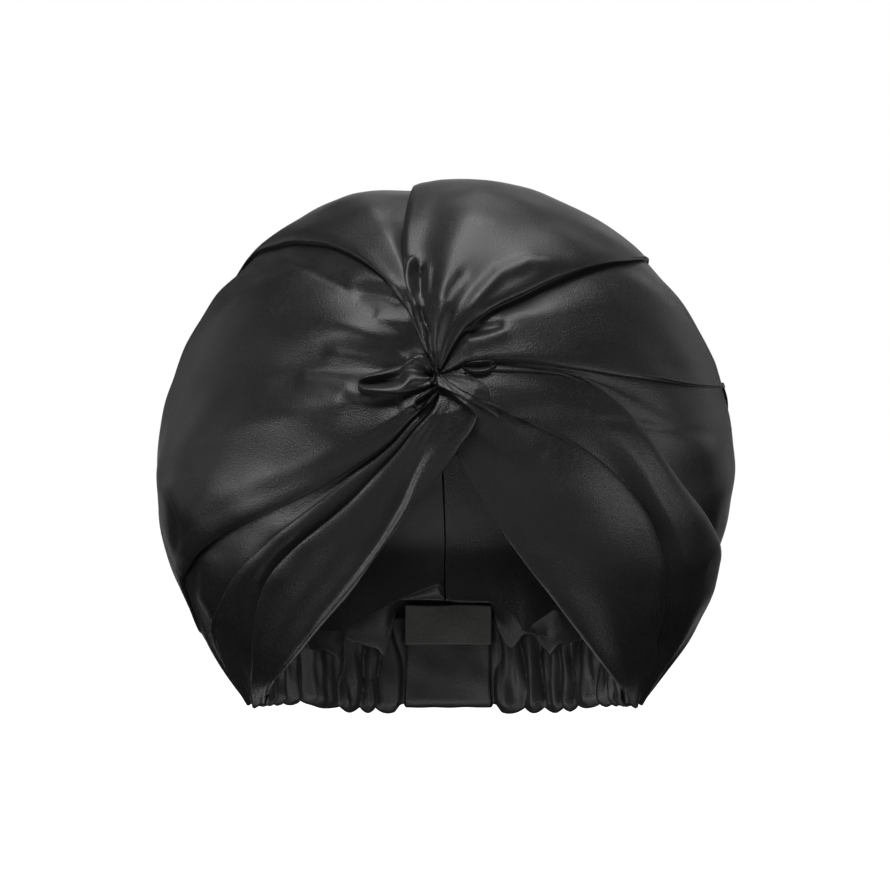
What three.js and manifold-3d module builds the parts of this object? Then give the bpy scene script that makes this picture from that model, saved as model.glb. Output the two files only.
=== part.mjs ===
import * as THREE from 'three';
import Module from 'manifold-3d';
import { mergeVertices } from 'three/addons/utils/BufferGeometryUtils.js';

// A twist-front hair bonnet of doubled black satin, in the form it has when worn.
// Millimetres, +Z up, the face side looks along -Y.
// The origin is the middle of the head opening, level with the flap tips beside the ears.

// Crown: a slightly uneven ball of cloth.
const HALF_WIDTH = 126.5;
const HALF_HEIGHT = 127.5;
const TOP_FLATNESS = 2.5;
const HALF_DEPTH = 121.5;
const BACK_FULLNESS = 3.5;
const CROWN_MID_Z = 102;
const WALL = 1.8;
const SEAM_GAP = 0.5;
const PIECE_GAP = 0.35;

// Knot: where every fold runs together. Its place is a turn and a rise, in degrees, from the crown's middle,
// and the dimple's reach is in degrees of the ball.
const KNOT_TURN = -1.6;
const KNOT_RISE = 19.2;
const KNOT_DIMPLE = 9;
const DIMPLE_REACH = 13;
const KNOT_CORE = 10;
const CORE_LIFT = 2.5;

// Flap edges: stretched straighter than the ball, between these distances from the knot in degrees.
const EDGE_PULL = 15;
const EDGE_REACH = 38;
const EDGE_START = 8;
const EDGE_END = 98;

// Hem: the lower border of the crown, from flap tip to flap tip round the nape.
// It climbs from the tips to the nape between two shares of the way round.
const HEM_RADIUS_X = 85;
const HEM_RADIUS_Y = 86.2;
const HEM_TIP_TURN = 110;
const HEM_TIP_Z = 3;
const HEM_NAPE_Z = 28;
const HEM_LOW_SHARE = 0.78;
const HEM_HIGH_SHARE = 0.28;
const HEM_TUCK = 70;
const PUFF_COUNT = 13;
const PUFF_DEPTH = 3;
const NAPE_TURN = 93;
const BACK_HANDLE = 0.36;
const FOLDS_GONE_SHARE = 0.6;

// Elastic band and the sleeve and label at its middle. Turns are in degrees from straight behind.
const BAND_RADIUS = 79.5;
const BAND_WALL = 2.2;
const BAND_TOP_Z = 38;
const BAND_DROP = 8.5;
const BAND_END_TURN = 106;
const GATHER_COUNT = 25;
const GATHER_DEPTH = 2.5;
const GATHER_FADE = 6;
const TAB_HALF_TURN = 14.4;
const TAB_MID_TURN = 1.2;
const TAB_WALL = 1.6;
const TAB_TOP_Z = 40;
const TAB_BACK_Z = 22;
const LABEL_HALF_TURN = 15;
const LABEL_HEIGHT = 17.5;
const LABEL_WALL = 0.7;

// How finely the cloth is faceted. Front rings are distances from the knot in degrees.
const CLOTH_STEP = 8;
const FRONT_RINGS = [5, 7.5, 10.5, 14, 18, 22.5, 27.5, 33, 39, 45.5, 52, 59, 66.5, 74, 82];
const BACK_RINGS = 11;
const ROLL_SIDES = 10;
const ROLL_STEPS = 9;
const ROLL_BLUNTNESS = 0.92;
const GATHER_STEPS = 4;
const BAND_LEVELS = [0, 0.3, 0.7, 1];
const NAPE_STEPS = 8;

// Fold lines run outwards from the knot. Each row gives the turn of its line about the knot in degrees
// (0 to the right in a front view, 90 straight up) and the lift of the cloth off the ball in millimetres,
// both at the four stations, which are distances from the knot in degrees of the ball.
const STATIONS = [8, 26, 52, 82];
const FOLDS = [
  { name: 'left_edge', turn: [306, 257, 242, 235], lift: [4.5, 1.5, 0, 0] },
  { name: 'left_strip', turn: [296, 255, 241, 234], lift: [5.5, 2.5, 0.5, 0] },
  { name: 'strip_crease', turn: [284, 252, 239.5, 233], lift: [2, -0.5, 0, 0] },
  { name: 'left_pleat_1', turn: [272, 243, 232, 230.5], lift: [4, 3, 3, 0.5] },
  { name: 'left_crease_1', turn: [262, 235, 224, 226], lift: [0.5, -1.5, -1.5, -0.5] },
  { name: 'left_pleat_2', turn: [258, 231.5, 220.5, 221], lift: [2, 1.5, 2.5, -0.5] },
  { name: 'left_crease_2', turn: [255, 228.5, 217, 215.5], lift: [0, -1, -1, -2] },
  { name: 'dome_foot', turn: [252, 226, 211.5, 208], lift: [-0.5, -1.5, -2, -3] },
  { name: 'dome_lip', turn: [243, 220, 207, 204.5], lift: [3, 4.5, 5, 0] },
  { name: 'dome_crest', turn: [205, 195, 188, 186], lift: [3, 6.5, 5, 0] },
  { name: 'hollow', turn: [165, 172, 172, 170], lift: [-4, -2, 2, 0] },
  { name: 'shoulder', turn: [140, 148, 152, 153], lift: [0, 3, 3, 0] },
  { name: 'left_seam', turn: [127, 131.5, 136, 137.5], lift: [0.5, -0.5, 0, 0] },
  { name: 'tuck_foot', turn: [119, 122, 131.5, 134], lift: [0, -1.5, -1.5, -0.5] },
  { name: 'tuck_lip', turn: [113, 116.5, 128, 131], lift: [2.5, 4, 4, 2] },
  { name: 'left_top', turn: [109, 108, 112, 112], lift: [4.5, 4.5, 4.5, 2.5] },
  { name: 'lap_foot', turn: [104, 102.5, 97.5, 93], lift: [0, -0.5, -0.5, 0] },
  { name: 'lap_lip', turn: [104, 102.5, 97.5, 93], lift: [4.5, 4, 3.5, 1.5] },
  { name: 'stem', turn: [85, 82, 78, 76], lift: [7, 9, 7, 3] },
  { name: 'pillow', turn: [72, 62, 58, 58], lift: [5, 8, 7, 3] },
  { name: 'pillow_lip', turn: [63, 49, 43.5, 44], lift: [2.5, 5, 5, 2] },
  { name: 'pillow_foot', turn: [53, 43, 39, 41], lift: [-1, -1.5, -2, -0.5] },
  { name: 'right_band', turn: [34, 28, 26, 28], lift: [3, 4, 3.5, -1] },
  { name: 'band_ridge', turn: [22, 17, 14, 16], lift: [3, 4, 4.5, 1] },
  { name: 'shelf_lip', turn: [14, 6.5, 8, 12.5], lift: [2.5, 3.5, 4.5, 2.5] },
  { name: 'shelf_foot', turn: [6, 2.5, 4, 9.5], lift: [-0.5, -0.5, -2.5, -1.5] },
  { name: 'right_side', turn: [2, 0, -6, -5], lift: [0, -0.5, -1.5, 0] },
  { name: 'flap_foot', turn: [-4, -3, -12.5, -18.5], lift: [0.5, -0.5, -2, -1] },
  { name: 'flap_lip', turn: [-12, -8, -16.5, -21.5], lift: [2.5, 2, 4.5, 4] },
  { name: 'flap_roll', turn: [-24, -14, -22.5, -30], lift: [3, 3, 4.5, 4] },
  { name: 'flap_crease', turn: [-42, -20.5, -29, -46], lift: [0, 0, 0, 0.5] },
  { name: 'flap', turn: [-62, -44, -46, -50], lift: [2, 4, 4, 2] },
  { name: 'right_edge', turn: [-84, -70, -59, -54], lift: [-2, -1, 0, 0] },
];
const LEFT_EDGE = FOLDS[0];
const RIGHT_EDGE = FOLDS[FOLDS.length - 1];
const LAP_FOOT = FOLDS.findIndex((fold) => fold.name === 'lap_foot');
const RIM = STATIONS[STATIONS.length - 1];

// Rolls of cloth in the knot. Each runs outwards between two distances in degrees, bending through three
// turns about the knot, with three radii and a height above the cloth under it in millimetres.
const ROLLS = [
  { name: 'left_roll', turns: [150, 172, 187], from: 2, to: 14, radii: [5, 4.6, 3], rise: 1.5 },
  { name: 'left_under_roll', turns: [210, 198, 193], from: 2, to: 12, radii: [4, 3.4, 2.6], rise: 1 },
  { name: 'lower_roll', turns: [262, 244, 240], from: 2, to: 9, radii: [4, 3.4, 2.6], rise: 1 },
  { name: 'right_roll', turns: [368, 368, 369], from: 2, to: 11, radii: [7, 4.6, 2.6], rise: 1 },
];
const KNOT_CLEAR_REACH = 30;
const KNOT_CLEAR_DEPTH = 32;

const RAD = Math.PI / 180;
const wasm = await Module();
wasm.setup();

function clamp(value) {
  return Math.min(1, Math.max(0, value));
}

function smooth(value) {
  const f = clamp(value);
  return f * f * (3 - 2 * f);
}

function bell(distance, reach) {
  return Math.exp(-((distance / reach) ** 2));
}

// A bend through three values: from the first to the last, drawn towards the middle one.
function bend(values, f) {
  return (1 - f) ** 2 * values[0] + 2 * f * (1 - f) * values[1] + f ** 2 * values[2];
}

// A smooth curve through one value per station, level before the first and after the last.
function along(values, distance) {
  const last = STATIONS.length - 1;
  if (distance <= STATIONS[0]) return values[0];
  if (distance >= STATIONS[last]) return values[last];
  const i = STATIONS.findIndex((station, k) => distance < STATIONS[k + 1]);
  const slope = (k) => {
    const a = Math.max(0, k - 1);
    const b = Math.min(last, k + 1);
    return (values[b] - values[a]) / (STATIONS[b] - STATIONS[a]);
  };
  const span = STATIONS[i + 1] - STATIONS[i];
  const f = (distance - STATIONS[i]) / span;
  const rise = values[i + 1] - values[i];
  const entry = slope(i) * span - rise;
  const exit = slope(i + 1) * span - rise;
  return values[i] + rise * f + f * (1 - f) * ((1 - f) * entry - f * exit);
}

const KNOT = new THREE.Vector3(
  Math.sin(KNOT_TURN * RAD) * Math.cos(KNOT_RISE * RAD),
  -Math.cos(KNOT_TURN * RAD) * Math.cos(KNOT_RISE * RAD),
  Math.sin(KNOT_RISE * RAD),
);
const KNOT_SIDE = new THREE.Vector3(1, 0, 0).addScaledVector(KNOT, -KNOT.x).normalize();
const KNOT_UP = new THREE.Vector3().crossVectors(KNOT, KNOT_SIDE);

// A unit direction from the crown's middle, at a turn about the knot and a distance from it.
function directionFromKnot(turn, distance) {
  const out = KNOT.clone().multiplyScalar(Math.cos(distance * RAD));
  out.addScaledVector(KNOT_SIDE, Math.sin(distance * RAD) * Math.cos(turn * RAD));
  out.addScaledVector(KNOT_UP, Math.sin(distance * RAD) * Math.sin(turn * RAD));
  return out;
}

// The ball's half sizes in a direction: fuller behind, flatter on top.
function ballSizes(direction) {
  const depth = HALF_DEPTH + BACK_FULLNESS * direction.y;
  const height = HALF_HEIGHT - TOP_FLATNESS * direction.z;
  return new THREE.Vector3(HALF_WIDTH, depth, height);
}

// A point of the ball in a direction, drawn in to a share of its size and lifted along its normal.
function onBall(direction, share, lift) {
  const sizes = ballSizes(direction);
  const normal = direction.clone().divide(sizes).normalize();
  const point = direction.clone().multiply(sizes).multiplyScalar(share);
  point.z += CROWN_MID_Z;
  return point.addScaledVector(normal, lift);
}

// A column of cloth lies between a fold row and the next, at a part of the way.
function columnTurn(column, distance) {
  const here = along(FOLDS[column.row].turn, distance);
  if (column.part === 0) return here;
  return here + (along(FOLDS[column.row + 1].turn, distance) - here) * column.part;
}

function columnLift(column, distance) {
  const here = along(FOLDS[column.row].lift, distance);
  if (column.part === 0) return here;
  return here + (along(FOLDS[column.row + 1].lift, distance) - here) * smooth(column.part);
}

function dimple(distance) {
  return KNOT_DIMPLE * bell(distance, DIMPLE_REACH);
}

// How far the stretched flap edges draw in the cloth beside them.
function edgePull(turn, distance, reached) {
  const perDegree = HALF_WIDTH * Math.sin(distance * RAD) * RAD;
  const fromLeft = (along(LEFT_EDGE.turn, distance) - turn) * perDegree;
  const fromRight = (turn - along(RIGHT_EDGE.turn, distance)) * perDegree;
  const near = bell(fromLeft, EDGE_REACH) + bell(fromRight, EDGE_REACH);
  return EDGE_PULL * near * Math.sin(Math.PI * clamp((reached - EDGE_START) / (EDGE_END - EDGE_START)));
}

// A point of the cloth in front of the crown's rim.
function frontPoint(column, distance, lift) {
  const turn = columnTurn(column, distance);
  const total = columnLift(column, distance) - dimple(distance) - edgePull(turn, distance, distance) + lift;
  return onBall(directionFromKnot(turn, distance), 1, total);
}

// Where a column meets the hem, and how far round that is: -1 and 1 at the tips, 0 at the nape.
function hemOf(turn) {
  const side = turn > NAPE_TURN ? LEFT_EDGE : RIGHT_EDGE;
  const round = (NAPE_TURN - turn) / Math.abs(NAPE_TURN - along(side.turn, RIM));
  const angle = round * HEM_TIP_TURN * RAD;
  const climb = smooth((HEM_LOW_SHARE - Math.abs(round)) / (HEM_LOW_SHARE - HEM_HIGH_SHARE));
  const point = new THREE.Vector3(
    HEM_RADIUS_X * Math.sin(angle),
    HEM_RADIUS_Y * Math.cos(angle),
    HEM_TIP_Z + (HEM_NAPE_Z - HEM_TIP_Z) * climb,
  );
  return { point, round };
}

// A point of the cloth at a share of the way from the crown's rim to the hem.
function backPoint(column, share, lift) {
  const turn = columnTurn(column, RIM);
  const start = directionFromKnot(turn, RIM);
  const onward = directionFromKnot(turn, RIM + 90);
  const hem = hemOf(turn);
  const fromMiddle = hem.point.clone().setZ(hem.point.z - CROWN_MID_Z);
  const scaled = fromMiddle.clone().divide(ballSizes(fromMiddle.clone().divideScalar(HALF_WIDTH)));
  const drawnIn = scaled.length();
  const end = scaled.normalize();
  const down = new THREE.Vector3(0, 0, -1).addScaledVector(end, end.z).normalize();
  const arc = start.angleTo(end);
  const line = new THREE.CubicBezierCurve3(
    start,
    start.clone().addScaledVector(onward, arc * BACK_HANDLE),
    end.clone().addScaledVector(down, -arc * BACK_HANDLE),
    end,
  );
  const tuck = clamp(1 - (HALF_WIDTH * arc * (1 - share)) / HEM_TUCK) ** 2;
  const wave = 0.5 - 0.5 * Math.cos(2 * Math.PI * PUFF_COUNT * hem.round);
  const fold = columnLift(column, RIM) * (1 - smooth(share / FOLDS_GONE_SHARE));
  const pull = edgePull(turn, RIM, RIM + (EDGE_END - RIM) * share);
  const total = fold + PUFF_DEPTH * wave * tuck - pull + lift;
  return onBall(line.getPoint(share).normalize(), 1 + (drawnIn - 1) * tuck, total);
}

// Columns follow the fold lines, with more of them where two lines lie far apart.
function columnsBetween(first, last) {
  const columns = [];
  for (let row = first; row < last; row += 1) {
    const apart = Math.abs(FOLDS[row].turn[2] - FOLDS[row + 1].turn[2]) * RAD;
    const width = apart * HALF_WIDTH * Math.sin(STATIONS[2] * RAD);
    const count = Math.max(1, Math.round(width / CLOTH_STEP));
    for (let k = 0; k < count; k += 1) columns.push({ row, part: k / count });
  }
  columns.push({ row: last, part: 0 });
  return columns;
}

function meshGeometry(points, faces) {
  const geometry = new THREE.BufferGeometry();
  geometry.setAttribute('position', new THREE.Float32BufferAttribute(points, 3));
  geometry.setIndex(faces);
  return geometry;
}

// A closed wall from two grids of points of the same size: the outside and the inside.
function wallGeometry(outside, inside) {
  const rows = outside.length;
  const cols = outside[0].length;
  const points = [];
  for (const grid of [outside, inside]) {
    for (const line of grid) line.forEach((p) => points.push(p.x, p.y, p.z));
  }
  const faces = [];
  const at = (side, r, c) => side * rows * cols + r * cols + c;
  const quad = (a, b, c, d) => faces.push(a, b, c, a, c, d);
  for (let r = 0; r < rows - 1; r += 1) {
    for (let c = 0; c < cols - 1; c += 1) {
      quad(at(0, r, c), at(0, r, c + 1), at(0, r + 1, c + 1), at(0, r + 1, c));
      quad(at(1, r, c), at(1, r + 1, c), at(1, r + 1, c + 1), at(1, r, c + 1));
    }
  }
  const foot = rows - 1;
  for (let c = 0; c < cols - 1; c += 1) {
    quad(at(0, 0, c), at(1, 0, c), at(1, 0, c + 1), at(0, 0, c + 1));
    quad(at(0, foot, c), at(0, foot, c + 1), at(1, foot, c + 1), at(1, foot, c));
  }
  const end = cols - 1;
  for (let r = 0; r < rows - 1; r += 1) {
    quad(at(0, r, 0), at(0, r + 1, 0), at(1, r + 1, 0), at(1, r, 0));
    quad(at(0, r, end), at(1, r, end), at(1, r + 1, end), at(0, r + 1, end));
  }
  return meshGeometry(points, faces);
}

// The two halves of the crown. At the lap each is held back by half the seam gap.
const leftColumns = columnsBetween(0, LAP_FOOT);
const rightColumns = columnsBetween(LAP_FOOT + 1, FOLDS.length - 1);
const LEFT_HALF = { columns: leftColumns, seam: leftColumns.length - 1, shift: -SEAM_GAP / 2 };
const RIGHT_HALF = { columns: rightColumns, seam: 0, shift: SEAM_GAP / 2 };

function frontGrid(half, rings, lift) {
  return rings.map((distance) => half.columns.map((column) => frontPoint(column, distance, lift)));
}

function crownGrid(half, lift) {
  const grid = frontGrid(half, FRONT_RINGS, lift);
  for (let k = 1; k <= BACK_RINGS; k += 1) {
    grid.push(half.columns.map((column) => backPoint(column, k / BACK_RINGS, lift)));
  }
  for (const line of grid) line[half.seam].x += half.shift;
  return grid;
}

function crownGeometry(half) {
  return wallGeometry(crownGrid(half, 0), crownGrid(half, -WALL));
}

// The space in and under the cloth near the knot, which the rolls keep clear of.
function knotClearance(half) {
  const rings = FRONT_RINGS.filter((distance) => distance < KNOT_CLEAR_REACH);
  return wallGeometry(frontGrid(half, rings, PIECE_GAP), frontGrid(half, rings, -KNOT_CLEAR_DEPTH));
}

// The lift of the upper layer of cloth at a turn about the knot.
function clothLift(turn, distance) {
  let highest = -WALL;
  for (let row = 0; row < FOLDS.length - 1; row += 1) {
    const from = along(FOLDS[row].turn, distance);
    const to = along(FOLDS[row + 1].turn, distance);
    for (const whole of [turn, turn - 360, turn + 360]) {
      if (whole > from || whole <= to) continue;
      highest = Math.max(highest, columnLift({ row, part: (from - whole) / (from - to) }, distance));
    }
  }
  return highest;
}

// A blunt roll of cloth along a bent line on the cloth near the knot.
function rollGeometry(roll) {
  const path = [];
  for (let k = 0; k <= ROLL_STEPS; k += 1) {
    const f = k / ROLL_STEPS;
    const turn = bend(roll.turns, f);
    const distance = roll.from + (roll.to - roll.from) * f;
    const lift = clothLift(turn, distance) + roll.rise - dimple(distance);
    const taper = Math.sqrt(1 - (ROLL_BLUNTNESS * (2 * f - 1)) ** 4);
    const spot = onBall(directionFromKnot(turn, distance), 1, lift);
    path.push({ at: spot, radius: bend(roll.radii, f) * taper });
  }
  const points = [];
  path.forEach((spot, k) => {
    const next = path[Math.min(ROLL_STEPS, k + 1)].at;
    const before = path[Math.max(0, k - 1)].at;
    const ahead = next.clone().sub(before).normalize();
    const side = new THREE.Vector3().crossVectors(KNOT, ahead).normalize();
    const out = new THREE.Vector3().crossVectors(ahead, side);
    for (let j = 0; j < ROLL_SIDES; j += 1) {
      const angle = (2 * Math.PI * j) / ROLL_SIDES;
      const p = spot.at.clone().addScaledVector(side, Math.cos(angle) * spot.radius);
      p.addScaledVector(out, Math.sin(angle) * spot.radius);
      points.push(p.x, p.y, p.z);
    }
  });
  for (const spot of [path[0], path[ROLL_STEPS]]) points.push(spot.at.x, spot.at.y, spot.at.z);
  const faces = [];
  const at = (k, j) => k * ROLL_SIDES + (j % ROLL_SIDES);
  const startCap = (ROLL_STEPS + 1) * ROLL_SIDES;
  for (let j = 0; j < ROLL_SIDES; j += 1) {
    for (let k = 0; k < ROLL_STEPS; k += 1) {
      faces.push(at(k, j), at(k, j + 1), at(k + 1, j + 1), at(k, j), at(k + 1, j + 1), at(k + 1, j));
    }
    faces.push(startCap, at(0, j + 1), at(0, j));
    faces.push(startCap + 1, at(ROLL_STEPS, j), at(ROLL_STEPS, j + 1));
  }
  return meshGeometry(points, faces);
}

function toManifold(geometry) {
  geometry.deleteAttribute('normal');
  geometry.deleteAttribute('uv');
  const merged = mergeVertices(geometry, 1e-4);
  return new wasm.Manifold(new wasm.Mesh({
    numProp: 3,
    vertProperties: new Float32Array(merged.attributes.position.array),
    triVerts: new Uint32Array(merged.index.array),
  }));
}

// The knot: a core in the hole between the two halves, with its rolls lying on the cloth round it.
function knotGeometry() {
  const middle = onBall(KNOT, 1, CORE_LIFT - KNOT_DIMPLE);
  const core = new THREE.SphereGeometry(KNOT_CORE, 20, 12).translate(middle.x, middle.y, middle.z);
  let knot = toManifold(core);
  for (const roll of ROLLS) knot = knot.add(toManifold(rollGeometry(roll)));
  for (const half of [LEFT_HALF, RIGHT_HALF]) knot = knot.subtract(toManifold(knotClearance(half)));
  const mesh = knot.getMesh();
  return meshGeometry(mesh.vertProperties, Array.from(mesh.triVerts));
}

// A point round the nape: straight behind at turn 0.
function napePoint(turn, radius, z) {
  return new THREE.Vector3(radius * Math.sin(turn * RAD), radius * Math.cos(turn * RAD), z);
}

// The band: a pleated wall round the nape, smooth inside the sleeve.
function bandGeometry() {
  const count = GATHER_COUNT * GATHER_STEPS;
  const wallSide = (offset) => BAND_LEVELS.map((level) => {
    const line = [];
    for (let k = 0; k <= count; k += 1) {
      const turn = BAND_END_TURN * (1 - (2 * k) / count);
      const clear = smooth((Math.abs(turn - TAB_MID_TURN) - TAB_HALF_TURN) / GATHER_FADE);
      const wave = clear * GATHER_DEPTH * Math.cos((2 * Math.PI * k) / GATHER_STEPS);
      const foot = -BAND_DROP * Math.cos(turn * RAD);
      line.push(napePoint(turn, BAND_RADIUS + wave + offset, foot + (BAND_TOP_Z - foot) * level));
    }
    return line;
  });
  return wallGeometry(wallSide(BAND_WALL / 2), wallSide(-BAND_WALL / 2));
}

// A curved plate or sleeve round the nape, from a closed outline of radius and height.
function sweptNape(outline, halfTurn) {
  const points = [];
  const faces = [];
  for (let k = 0; k <= NAPE_STEPS; k += 1) {
    const turn = TAB_MID_TURN - halfTurn * (1 - (2 * k) / NAPE_STEPS);
    for (const [radius, z] of outline) points.push(...napePoint(turn, radius, z).toArray());
  }
  const at = (k, j) => k * outline.length + (j % outline.length);
  for (let k = 0; k < NAPE_STEPS; k += 1) {
    for (let j = 0; j < outline.length; j += 1) {
      faces.push(at(k, j), at(k, j + 1), at(k + 1, j + 1), at(k, j), at(k + 1, j + 1), at(k + 1, j));
    }
  }
  const shape = outline.map(([radius, z]) => new THREE.Vector2(radius, z));
  for (const [a, b, c] of THREE.ShapeUtils.triangulateShape(shape, [])) {
    faces.push(at(0, c), at(0, b), at(0, a));
    faces.push(at(NAPE_STEPS, a), at(NAPE_STEPS, b), at(NAPE_STEPS, c));
  }
  return meshGeometry(points, faces);
}

// The sleeve wraps under the band: a tall face inside, a lower one outside.
function tabGeometry() {
  const inner = BAND_RADIUS - BAND_WALL / 2 - PIECE_GAP;
  const outer = BAND_RADIUS + BAND_WALL / 2 + PIECE_GAP;
  const floor = -BAND_DROP - PIECE_GAP;
  return sweptNape([
    [inner - TAB_WALL, floor - TAB_WALL],
    [outer + TAB_WALL, floor - TAB_WALL],
    [outer + TAB_WALL, TAB_BACK_Z],
    [outer, TAB_BACK_Z],
    [outer, floor],
    [inner, floor],
    [inner, TAB_TOP_Z],
    [inner - TAB_WALL, TAB_TOP_Z],
  ], TAB_HALF_TURN);
}

function labelGeometry() {
  const back = BAND_RADIUS - BAND_WALL / 2 - TAB_WALL - 2 * PIECE_GAP;
  return sweptNape([
    [back - LABEL_WALL, TAB_TOP_Z - LABEL_HEIGHT],
    [back, TAB_TOP_Z - LABEL_HEIGHT],
    [back, TAB_TOP_Z],
    [back - LABEL_WALL, TAB_TOP_Z],
  ], LABEL_HALF_TURN);
}

function piece(name, geometry, colour, roughness) {
  const material = new THREE.MeshStandardMaterial({ color: colour, roughness, metalness: 0 });
  const mesh = new THREE.Mesh(geometry, material);
  mesh.name = name;
  return mesh;
}

const bonnet = new THREE.Group();
bonnet.name = 'hair_bonnet';
bonnet.add(piece('crown_left', crownGeometry(LEFT_HALF), 0x151516, 0.45));
bonnet.add(piece('crown_right', crownGeometry(RIGHT_HALF), 0x151516, 0.45));
bonnet.add(piece('twist_knot', knotGeometry(), 0x171718, 0.45));
bonnet.add(piece('elastic_band', bandGeometry(), 0x141313, 0.6));
bonnet.add(piece('band_tab', tabGeometry(), 0x141313, 0.6));
bonnet.add(piece('label', labelGeometry(), 0x1c1b1a, 0.7));

export default bonnet;
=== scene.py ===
# %% [markdown]
# # A twist-front hair bonnet in black satin
# The bonnet is two halves of doubled satin, crossed over each other in a knot at the front and gathered
# at the nape into an elastic band, with a flat sleeve and a blank woven label at the middle of the band.
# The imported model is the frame: it is loaded once and never moved, and each soft piece below takes the
# place of one of its solids, in the same metres and the same axes.

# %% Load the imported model
import math

import bpy
import numpy as np
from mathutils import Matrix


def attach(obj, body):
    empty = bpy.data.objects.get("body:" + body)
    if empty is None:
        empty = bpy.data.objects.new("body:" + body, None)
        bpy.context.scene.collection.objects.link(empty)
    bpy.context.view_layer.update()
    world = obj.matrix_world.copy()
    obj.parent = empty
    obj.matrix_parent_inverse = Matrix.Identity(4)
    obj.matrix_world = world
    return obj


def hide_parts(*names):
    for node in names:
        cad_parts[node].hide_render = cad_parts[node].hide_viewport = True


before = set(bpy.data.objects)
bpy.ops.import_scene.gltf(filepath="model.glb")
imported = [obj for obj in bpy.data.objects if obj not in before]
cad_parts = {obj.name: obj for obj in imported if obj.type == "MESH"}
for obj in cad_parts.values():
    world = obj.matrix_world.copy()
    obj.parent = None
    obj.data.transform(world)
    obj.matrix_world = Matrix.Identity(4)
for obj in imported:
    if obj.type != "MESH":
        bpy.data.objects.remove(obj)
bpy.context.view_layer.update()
print("solids to dress:", ", ".join(sorted(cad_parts)))

# %% [markdown]
# ## The ball of the crown
# Worn, the crown is a slightly uneven ball. A sphere could be pulled into shape with a sculpting brush,
# but then no fold could be moved again without redoing its neighbours. Here every point of cloth is a
# direction from the ball's middle and a lift along its normal, so a fold is two small numbers: how far
# round, and how high. Directions are a turn about the knot (0 to the right, 90 up) and a distance from
# it, both in degrees. Sizes are in millimetres, as a pattern cutter would write them, and the meshes are
# scaled to metres.

# %% Ball and knot
MM = 0.001
RAD = math.pi / 180
HALF_WIDTH = 126.5
HALF_HEIGHT = 127.5
TOP_FLATNESS = 2.5
HALF_DEPTH = 121.5
BACK_FULLNESS = 3.5
CROWN_MID_Z = 102
KNOT_TURN = -1.6
KNOT_RISE = 19.2
KNOT_DIMPLE = 7
DIMPLE_REACH = 10


def unit(vectors):
    return vectors / np.linalg.norm(vectors, axis=-1, keepdims=True)


def smooth(value):
    f = np.clip(value, 0, 1)
    return f * f * (3 - 2 * f)


def bell(distance, reach):
    return np.exp(-((distance / reach) ** 2))


KNOT = np.array([
    math.sin(KNOT_TURN * RAD) * math.cos(KNOT_RISE * RAD),
    -math.cos(KNOT_TURN * RAD) * math.cos(KNOT_RISE * RAD),
    math.sin(KNOT_RISE * RAD),
])
KNOT_SIDE = unit(np.array([1.0, 0.0, 0.0]) - KNOT * KNOT[0])
KNOT_UP = np.cross(KNOT, KNOT_SIDE)


def from_knot(turn, distance):
    turn, distance = np.broadcast_arrays(turn * RAD, distance * RAD)
    out = np.cos(distance)[..., None] * KNOT
    out = out + (np.sin(distance) * np.cos(turn))[..., None] * KNOT_SIDE
    return out + (np.sin(distance) * np.sin(turn))[..., None] * KNOT_UP


def ball_sizes(direction):
    depth = HALF_DEPTH + BACK_FULLNESS * direction[..., 1]
    height = HALF_HEIGHT - TOP_FLATNESS * direction[..., 2]
    return np.stack([np.full_like(depth, HALF_WIDTH), depth, height], axis=-1)


def on_ball(direction, share, lift):
    sizes = ball_sizes(direction)
    normal = unit(direction / sizes)
    point = direction * sizes * np.asarray(share)[..., None]
    point[..., 2] += CROWN_MID_Z
    return point + normal * np.asarray(lift)[..., None]


print("knot at", np.round(on_ball(KNOT, 1.0, -KNOT_DIMPLE), 1), "mm")

# %% [markdown]
# ## Fold lines
# The cloth is drawn to the knot, so its folds run out from there like spokes. A cloth simulation could
# make such folds, but only by chance in the right places, because it is the hand that tied the knot that
# placed them. So they are written down. Each row is one line: its turn and its lift at six distances from
# the knot. A lip next to a foot is a fold that rolls over and throws a shadow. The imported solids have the
# main folds only; here there are more of them, and they roll further.

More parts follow.
